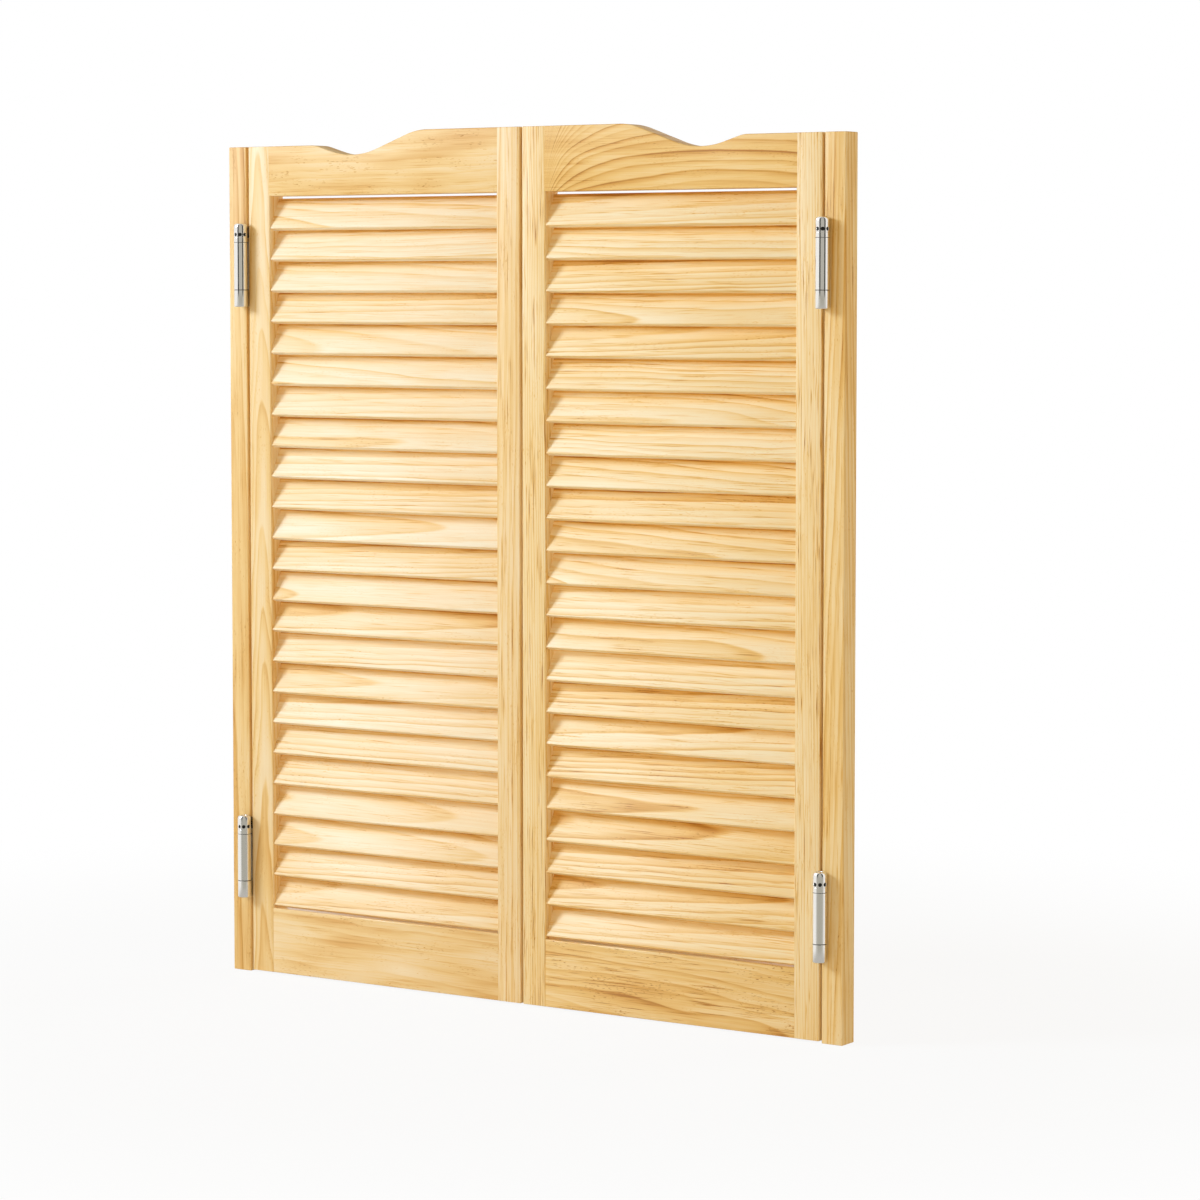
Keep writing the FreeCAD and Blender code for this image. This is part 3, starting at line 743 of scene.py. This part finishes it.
BOARDS = {
    "left_post": dict(
        grain=upright(-439.5), stops=PALE_PINE, pith=(-14, 34), ring=9.0, sway=3.0,
        late_tone=0.34, taper=0.02, streak=0.40, mottle=0.7, tone=0.24, seed=1.0),
    "left_hinge_stile": dict(
        grain=upright(-405), stops=PALE_PINE, pith=(5, 30), ring=5.5, sway=13.0,
        late_tone=0.36, taper=0.045, streak=0.30, lines=0.12, mottle=0.8, tone=0.12, seed=2.0),
    "left_meeting_stile": dict(
        grain=upright(-19), stops=PALE_PINE, pith=(60, 40), ring=8.0, sway=3.0,
        late_tone=0.35, taper=0.01, streak=0.6, lines=0.5, tone=0.08, seed=3.0),
    "left_top_rail": dict(
        grain=level(1030), stops=PALE_PINE, pith=(90, 60), ring=9.0, sway=9.0,
        late_tone=0.14, taper=0.03, streak=0.28, lines=0.22, mottle=1.1, freckles=0.4,
        tone=0.23, seed=4.0),
    "left_bottom_rail": dict(
        grain=level(44), stops=PALE_PINE, pith=(-90, 60), ring=11.0, sway=12.0,
        late_tone=0.18, taper=0.04, streak=0.30, lines=0.20, mottle=1.2, freckles=0.4,
        tone=0.15, coat=0.6, seed=5.0),
    "left_slats": dict(
        grain=slatted(6.0), stops=PALE_PINE, pith=(0, 26), ring=6.0, sway=5.0,
        late_tone=0.50, taper=0.02, streak=0.50, lines=0.35, tone=-0.13, seed=6.0),
    "right_post": dict(
        grain=upright(439.5), stops=HONEY_PINE, pith=(24, 30), ring=7.0, sway=4.0,
        late_tone=0.45, taper=0.03, streak=0.5, lines=0.40, mottle=0.8, tone=0.03, seed=7.0),
    "right_hinge_stile": dict(
        grain=upright(405), stops=HONEY_PINE, pith=(-60, 40), ring=3.6, sway=2.0,
        late_tone=0.35, taper=0.01, streak=0.6, lines=0.75, tone=-0.08, seed=8.0),
    "right_meeting_stile": dict(
        grain=upright(19), stops=HONEY_PINE, pith=(-70, 40), ring=3.4, sway=2.0,
        late_tone=0.45, taper=0.01, streak=0.6, lines=0.85, tone=-0.07, seed=9.0),
    "right_top_rail": dict(
        grain=level(985), stops=HONEY_PINE, pith=(-8, 26), ring=13.0, sway=6.5,
        late_tone=0.50, taper=0.0, streak=0.40, lines=0.2, band=(0.0, 0.62), tone=0.17,
        fan=(30, 26), arch=(210, 175, 7), seed=10.0),
    "right_bottom_rail": dict(
        grain=level(44), stops=HONEY_PINE, pith=(-50, 40), ring=9.0, sway=10.0,
        late_tone=0.35, taper=0.05, streak=0.6, lines=0.6, mottle=0.8, freckles=0.8,
        tone=0.16, coat=0.6, seed=11.0),
    "right_slats": dict(
        grain=slatted(12.0), stops=HONEY_PINE, pith=(0, 26), ring=6.0, sway=5.0,
        late_tone=0.60, taper=0.02, streak=0.50, lines=0.45, tone=-0.17, seed=12.0),
}
PINE = {name: pine(f"{name}_wood", **figure) for name, figure in BOARDS.items()}


# ---------------------------------------------------------------- pieces


def in_scene(name, data):
    """A new object of the scene that shows the data."""
    obj = bpy.data.objects.new(name, data)
    bpy.context.collection.objects.link(obj)
    return obj


def piece(name, mesh, material, body, replaced=(), smooth=32.0):
    """A finished piece, in its place, from a mesh in millimetres."""
    verts, faces = mesh
    data = bpy.data.meshes.new(name)
    data.from_pydata((np.asarray(verts) * MM).tolist(), [], faces)
    data.update()
    data.shade_smooth()
    data.set_sharp_from_angle(angle=math.radians(smooth))
    data.materials.append(material)
    obj = in_scene(name, data)
    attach(obj, body)
    if replaced:
        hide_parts(*replaced)


def wood(side, name, mesh, body):
    """A wooden piece that takes the place of its solid."""
    node = f"{side}_{name}"
    if side == "right":
        mesh = flipped(mesh)
    piece(f"{node}_board", mesh, PINE[node], body, [node])


def metal(side, name, meshes, body, replaced=(), material=NICKEL):
    """Metal parts as one piece. The right side's hinges are the left side's, turned round."""
    mesh = joined(meshes)
    if side == "right":
        mesh = half_turned(mesh)
    piece(f"{side}_{name}", mesh, material, body, replaced)


def build_post(side):
    """Square side post, with the heads of its two wall screws."""
    inner = -POST_OUTER + POST_WIDTH
    mesh = board((-POST_OUTER, -HALF_DEPTH, 0), (inner, HALF_DEPTH, POST_HEIGHT), Z)
    wood(side, "post", mesh, "frame")
    heads = [screw_head((inner, 0, height), 1, WALL_SCREW_RADIUS) for height in WALL_SCREWS]
    metal(side, "wall_screws", heads, "frame", material=SCREW_STEEL)


def build_door(side):
    """Stiles, rails and slats of one door."""
    body = f"{side}_door"
    near = -HINGE_EDGE + STILE_WIDTH
    far = -MEETING_EDGE - STILE_WIDTH
    hinge = board((-HINGE_EDGE, -HALF_DEPTH, DOOR_FOOT), (near, HALF_DEPTH, HINGE_SIDE_TOP), Z)
    meeting = board((far, -HALF_DEPTH, DOOR_FOOT),
                    (-MEETING_EDGE, HALF_DEPTH, MEETING_SIDE_TOP), Z)
    bottom = board((near - RAIL_OVERLAP, -HALF_DEPTH, DOOR_FOOT),
                   (far + RAIL_OVERLAP, HALF_DEPTH, BOTTOM_RAIL_TOP), X)
    wood(side, "hinge_stile", hinge, body)
    wood(side, "meeting_stile", meeting, body)
    wood(side, "top_rail", scalloped_rail(), body)
    wood(side, "bottom_rail", bottom, body)
    wood(side, "slats", slat_row(), body)


def build_leaf(side, hinge, leaf, foot):
    """Leaf of a hinge: a plate, the neck that leaves it, the rolled sleeve and four screws."""
    body = "frame" if leaf == "jamb_leaf" else f"{side}_door"
    pivot, near, depth, neck_depth, facing = LEAVES[leaf]
    across = (near, near + LEAF_THICKNESS)
    parts = [
        tube(pivot, BARREL_RADIUS, BORE_RADIUS, foot + SLEEVE[0], foot + SLEEVE[1], 0.25),
        metal_plate(across, depth, (foot + LEAF_PLATE[0], foot + LEAF_PLATE[1])),
        metal_plate(across, neck_depth, (foot + NECK[0], foot + NECK[1])),
    ]
    metal(side, f"{hinge}_{leaf}_plate", parts, body, [f"{side}_{hinge}_{leaf}"])
    face = across[1] if facing > 0 else across[0]
    heads = [screw_head((face, y, foot + height), facing, LEAF_SCREW_RADIUS)
             for y, height in LEAF_SCREWS]
    metal(side, f"{hinge}_{leaf}_screws", heads, body, material=SCREW_STEEL)


def build_web(side, hinge, foot):
    """Web between the two barrels, with a knuckle of each barrel at its top and its foot."""
    across = (-GAP_CENTRE - HALF_WEB, -GAP_CENTRE + HALF_WEB)
    parts = [metal_plate(across, (-WEB_REACH, WEB_REACH), (foot, foot + WEB_TOP))]
    for pivot in (FRONT_PIVOT, BACK_PIVOT):
        low, high = UPPER_KNUCKLE
        parts.append(tube(pivot, BARREL_RADIUS, BORE_RADIUS, foot + low, foot + high, 0.2))
        parts.append(knuckle(pivot, foot))
        near, far = WEB_TAB_REACH
        reach = (near, far) if pivot == BACK_PIVOT else (-far, -near)
        parts += [metal_plate(across, reach, (foot + low, foot + high)) for low, high in WEB_TABS]
    metal(side, f"{hinge}_web_and_knuckles", parts, f"{side}_link",
          [f"{side}_{hinge}_centre_web"])


def build_barrels(side, hinge, foot):
    """What turns with the web in both barrels: collars, near-black plugs and rings that are
    painted shade in the holes, the grooves and the dish, and coils.
    """
    link = f"{side}_link"
    pivots = (FRONT_PIVOT, BACK_PIVOT)
    metal(side, f"{hinge}_collars", [collar(pivot, foot) for pivot in pivots], link,
          [f"{side}_{hinge}_tension_collars"])
    metal(side, f"{hinge}_winding_bores", [hole_shade_plugs(pivot, foot) for pivot in pivots], link,
          material=HOLE_SHADE_STEEL)
    # Near-black rings in the grooves between sleeve and knuckles, and in the collar's dish, as
    # painted shade.
    groove_shade_rings = [tube(pivot, BARREL_RADIUS - 0.15, BORE_RADIUS, foot + low, foot + high, 0.05)
               for pivot in pivots for low, high in SLEEVE_GROOVES]
    low, high = DISH_GROOVE
    groove_shade_rings += [tube(pivot, 4.25, 2.5, foot + low, foot + high, 0.05, 48) for pivot in pivots]
    metal(side, f"{hinge}_washers", groove_shade_rings, link, material=HOLE_SHADE_STEEL)
    coils = [coil(pivot, foot + JOURNAL_TOP, foot + COLLAR_STEM_FOOT) for pivot in pivots]
    metal(side, f"{hinge}_spring_coils", coils, link, [f"{side}_{hinge}_springs"],
          SPRING_STEEL)


for side in ("left", "right"):
    build_post(side)
    build_door(side)
    for hinge, foot in HINGE_FEET.items():
        for leaf in LEAVES:
            build_leaf(side, hinge, leaf, foot)
        build_web(side, hinge, foot)
        build_barrels(side, hinge, foot)


# ---------------------------------------------------------------- floor, light and camera

WHITE = (1.0, 1.0, 1.0)
FLOOR_HALF = 6.0
FLOOR_LEVEL = -0.0005

# Directions over the ground: towards the open side of the studio, and to the right of it.
OPEN_SIDE = (0.552, -0.834)
RIGHT_OF_IT = (0.834, 0.552)

AIM = (0, 0, 0.5)

# Place, width, power and colour of each lamp, and whether the metal mirrors it.
LAMPS = {
    "key": ((-2.9, -2.7, 2.35), 1.4, 113.0, (0.83, 1.0, 1.20), True),
    "low_front": ((1.4, -3.5, 0.6), 2.0, 34.0, (1.0, 0.84, 0.62), False),
    "rear": ((1.6, 3.6, 1.1), 2.0, 62.0, (1.0, 0.95, 0.88), False),
}

CAMERA_PLACE = (2.6036, -3.7741, 0.8799)
CAMERA_DIP = 3.829
CAMERA_TURN = 33.493
LENS = 112.65
SENSOR = 36.0
VIEW_SHIFT = -0.05


def build_floor():
    """White studio floor that keeps a soft shadow near the doors and fades out round them."""
    material, nodes = finish("studio_floor")
    path = nodes.node("ShaderNodeLightPath").outputs
    x, y, _ = nodes.place(1.0)
    away = (x * x + y * y).root()
    diffuse = nodes.node("ShaderNodeBsdfDiffuse", None, {"Color": (0.88, 0.88, 0.88, 1.0)})
    glow = nodes.node("ShaderNodeEmission", None, {"Strength": 1.0})
    clear = nodes.node("ShaderNodeBsdfTransparent")
    seen = Value(nodes, path["Is Camera Ray"]) * (away.smooth(0.6, 1.6) * 0.10 + 0.90)
    lit = nodes.mixed(seen, diffuse.outputs[0], glow.outputs[0])
    top = nodes.mixed(path["Is Glossy Ray"], lit, clear.outputs[0])
    nodes.node("ShaderNodeOutputMaterial", None, {0: top})
    data = bpy.data.meshes.new("floor")
    corners = [(side * FLOOR_HALF, end * FLOOR_HALF, FLOOR_LEVEL)
               for side, end in ((-1, -1), (1, -1), (1, 1), (-1, 1))]
    data.from_pydata(corners, [], [(0, 1, 2, 3)])
    data.materials.append(material)
    in_scene("floor", data)


def build_world():
    """White behind the object, soft warm light, and a studio with dark gaps for the metal.

    What the metal mirrors is a ramp over share, which is 0 away from the open side of the
    studio and 1 towards it, and never under 0.42 on the left. It fades to a second ramp
    below the horizon, and to the ground under that.
    """
    world = bpy.data.worlds.new("studio")
    world.use_nodes = True
    bpy.context.scene.world = world
    nodes = Nodes(world.node_tree)
    path = nodes.node("ShaderNodeLightPath").outputs
    coordinates = nodes.node("ShaderNodeTexCoord")
    x, y, z = nodes.axes(coordinates.outputs["Generated"])
    flat = (x * x + y * y + 0.0001).root()
    facing = (x * OPEN_SIDE[0] + y * OPEN_SIDE[1]) / flat
    right = (x * RIGHT_OF_IT[0] + y * RIGHT_OF_IT[1]) / flat
    on_left = 1 - right.smooth(-0.2, 0.2)
    share = (facing * 0.5 + 0.5).at_least(on_left * 0.42)

    dark, edge = (0.02, 0.02, 0.02), (0.16, 0.13, 0.09)
    middle, low_middle = (0.52, 0.51, 0.47), (0.45, 0.44, 0.39)
    rim = [(0.0, WHITE), (0.08, WHITE), (0.13, edge), (0.30, edge), (0.36, WHITE)]
    stops = rim + [(0.80, WHITE), (0.835, dark), (0.93, dark), (0.945, middle), (1.0, middle)]
    low_stops = rim + [(0.66, WHITE), (0.80, (0.66, 0.65, 0.61)), (0.93, (0.52, 0.51, 0.46)),
                       (0.97, low_middle), (1.0, low_middle)]
    room = nodes.mixed_colour(z.smooth(-0.20, 0.0), nodes.ramp(low_stops, share),
                              nodes.ramp(stops, share))
    mirrored = nodes.mixed_colour(z.smooth(-0.45, -0.22), (0.55, 0.54, 0.52, 1), room)

    front = nodes.background((1.0, 0.73, 0.34, 1), 0.32)
    rear = nodes.background((1.0, 0.80, 0.55, 1), 0.25)
    far_right = nodes.background((1.0, 0.90, 0.72, 1), 0.90)
    soft = nodes.mixed(y.smooth(-0.1, 0.5), front, rear)
    soft = nodes.mixed(x.smooth(0.60, 0.95), soft, far_right)
    lit = nodes.mixed(path["Is Glossy Ray"], soft, nodes.background(mirrored))
    seen = nodes.mixed(path["Is Camera Ray"], lit, nodes.background((*WHITE, 1)))
    nodes.node("ShaderNodeOutputWorld", None, {0: seen})


def area_light(name, place, size, power, tint, mirrored):
    """Square soft box that faces the middle of the doors."""
    data = bpy.data.lights.new(name, "AREA")
    data.shape = "SQUARE"
    data.size = size
    data.energy = power
    data.color = tint
    direction = np.array(AIM, float) - place
    flat = math.hypot(direction[0], direction[1])
    light = in_scene(name, data)
    light.location = place
    light.rotation_euler = (math.atan2(flat, -direction[2]), 0,
                            math.atan2(-direction[0], direction[1]))
    light.visible_glossy = mirrored


def build_camera():
    """Long lens to the right of the doors, looking a little down."""
    data = bpy.data.cameras.new("camera")
    data.sensor_width = SENSOR
    data.lens = LENS
    data.shift_y = VIEW_SHIFT
    data.clip_end = 100.0
    camera = in_scene("camera", data)
    camera.location = CAMERA_PLACE
    camera.rotation_euler = (math.radians(90 - CAMERA_DIP), 0, math.radians(CAMERA_TURN))
    bpy.context.scene.camera = camera


build_floor()
build_world()
for name, settings in LAMPS.items():
    area_light(name, *settings)
build_camera()
bpy.context.scene.view_settings.view_transform = "Standard"
